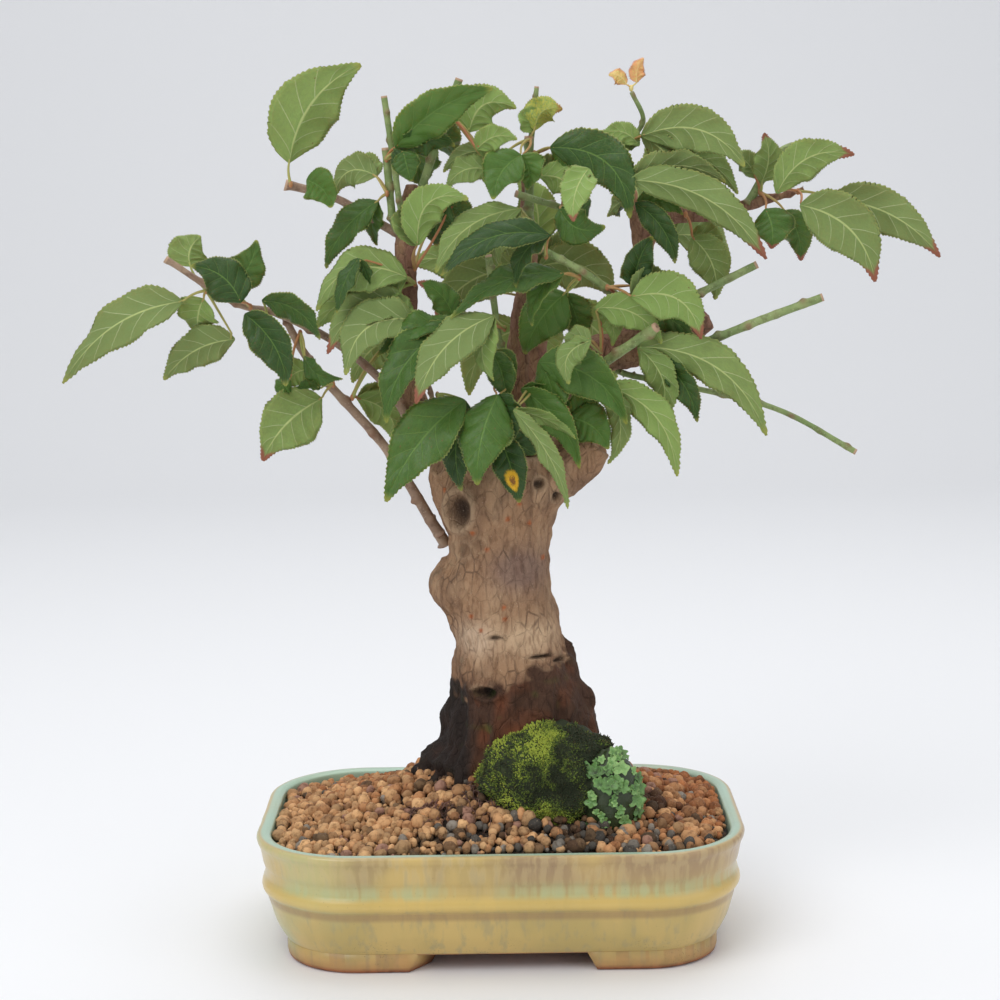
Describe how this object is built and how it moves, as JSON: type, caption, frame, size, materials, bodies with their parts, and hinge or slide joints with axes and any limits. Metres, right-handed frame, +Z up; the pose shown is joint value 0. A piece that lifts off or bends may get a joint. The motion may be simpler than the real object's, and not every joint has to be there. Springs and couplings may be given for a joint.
{
  "type": "bonsai tree in a pot",
  "caption": "Broadleaf bonsai with a thick gnarled trunk, pruned limbs and leafy shoots, planted in a glazed rectangular ceramic pot with corner feet.",
  "frame": {"origin": "on the ground under the middle of the pot", "axes": "+Z up along the trunk, +X along the pot's long side to the viewer's right, -Y the front the tree is viewed from"},
  "size_m": [0.442, 0.172, 0.4514],
  "materials": {
    "pot_glaze": "satin ochre and olive glaze with turquoise runs",
    "drain_net": "matte dark plastic mesh",
    "akadama_soil": "rough fired clay granules with dark humus and grit",
    "bark": "rough flaking bark with healed cuts",
    "young_bark": "smooth young bark with pale pores",
    "green_shoot": "smooth green shoots with corky cuts",
    "moss": "soft dense moss tufts",
    "liverwort": "smooth lobed fronds",
    "leaf": "veined leaf, glossy dark above and matte pale below",
    "young_leaf": "thin new leaf, orange to yellow"
  },
  "bodies": {
    "root": {"branch_long_left": "young_bark", "branch_middle_left": "young_bark", "dead_twig": "young_bark", "drain_mesh_left": "drain_net", "drain_mesh_right": "drain_net", "leaves_arch_left": "leaf", "leaves_back_a": "leaf", "leaves_back_b": "leaf", "leaves_back_c": "leaf", "leaves_behind_right": "leaf", "leaves_bitten_left": "leaf", "leaves_bright_left": "leaf", "leaves_crown_arch": "leaf", "leaves_crown_bowl": "leaf", "leaves_crown_far": "leaf", "leaves_crown_left": "leaf", "leaves_crown_right": "leaf", "leaves_crown_yellow": "leaf", "leaves_dark_left": "leaf", "leaves_end_right": "leaf", "leaves_end_upper": "leaf", "leaves_far_left": "leaf", "leaves_fork_right": "leaf", "leaves_front_dark": "leaf", "leaves_front_long": "leaf", "leaves_front_pale": "leaf", "leaves_front_right": "leaf", "leaves_high_left": "leaf", "leaves_inner_right": "leaf", "leaves_left_inner": "leaf", "leaves_left_small": "leaf", "leaves_limb_left": "leaf", "leaves_long_right": "leaf", "leaves_low_left": "leaf", "leaves_lower_right": "leaf", "leaves_mid_lower": "leaf", "leaves_mid_middle": "leaf", "leaves_mid_upper": "leaf", "leaves_middle_right": "leaf", "leaves_mint_left": "leaf", "leaves_pale_left": "leaf", "leaves_right_low": "leaf", "leaves_tall_left": "leaf", "leaves_top_left": "leaf", "leaves_young": "young_leaf", "liverwort": "liverwort", "moss": "moss", "pot": "pot_glaze", "shoot_front": "green_shoot", "shoot_front_top": "green_shoot", "shoot_left_b": "green_shoot", "shoot_left_c": "green_shoot", "shoot_low": "green_shoot", "shoot_right_a": "green_shoot", "shoot_right_b": "green_shoot", "shoot_young": "green_shoot", "soil": "akadama_soil", "trunk": "bark", "twig_right_low": "green_shoot", "twig_upper_left": "young_bark"}
  },
  "joints": []
}
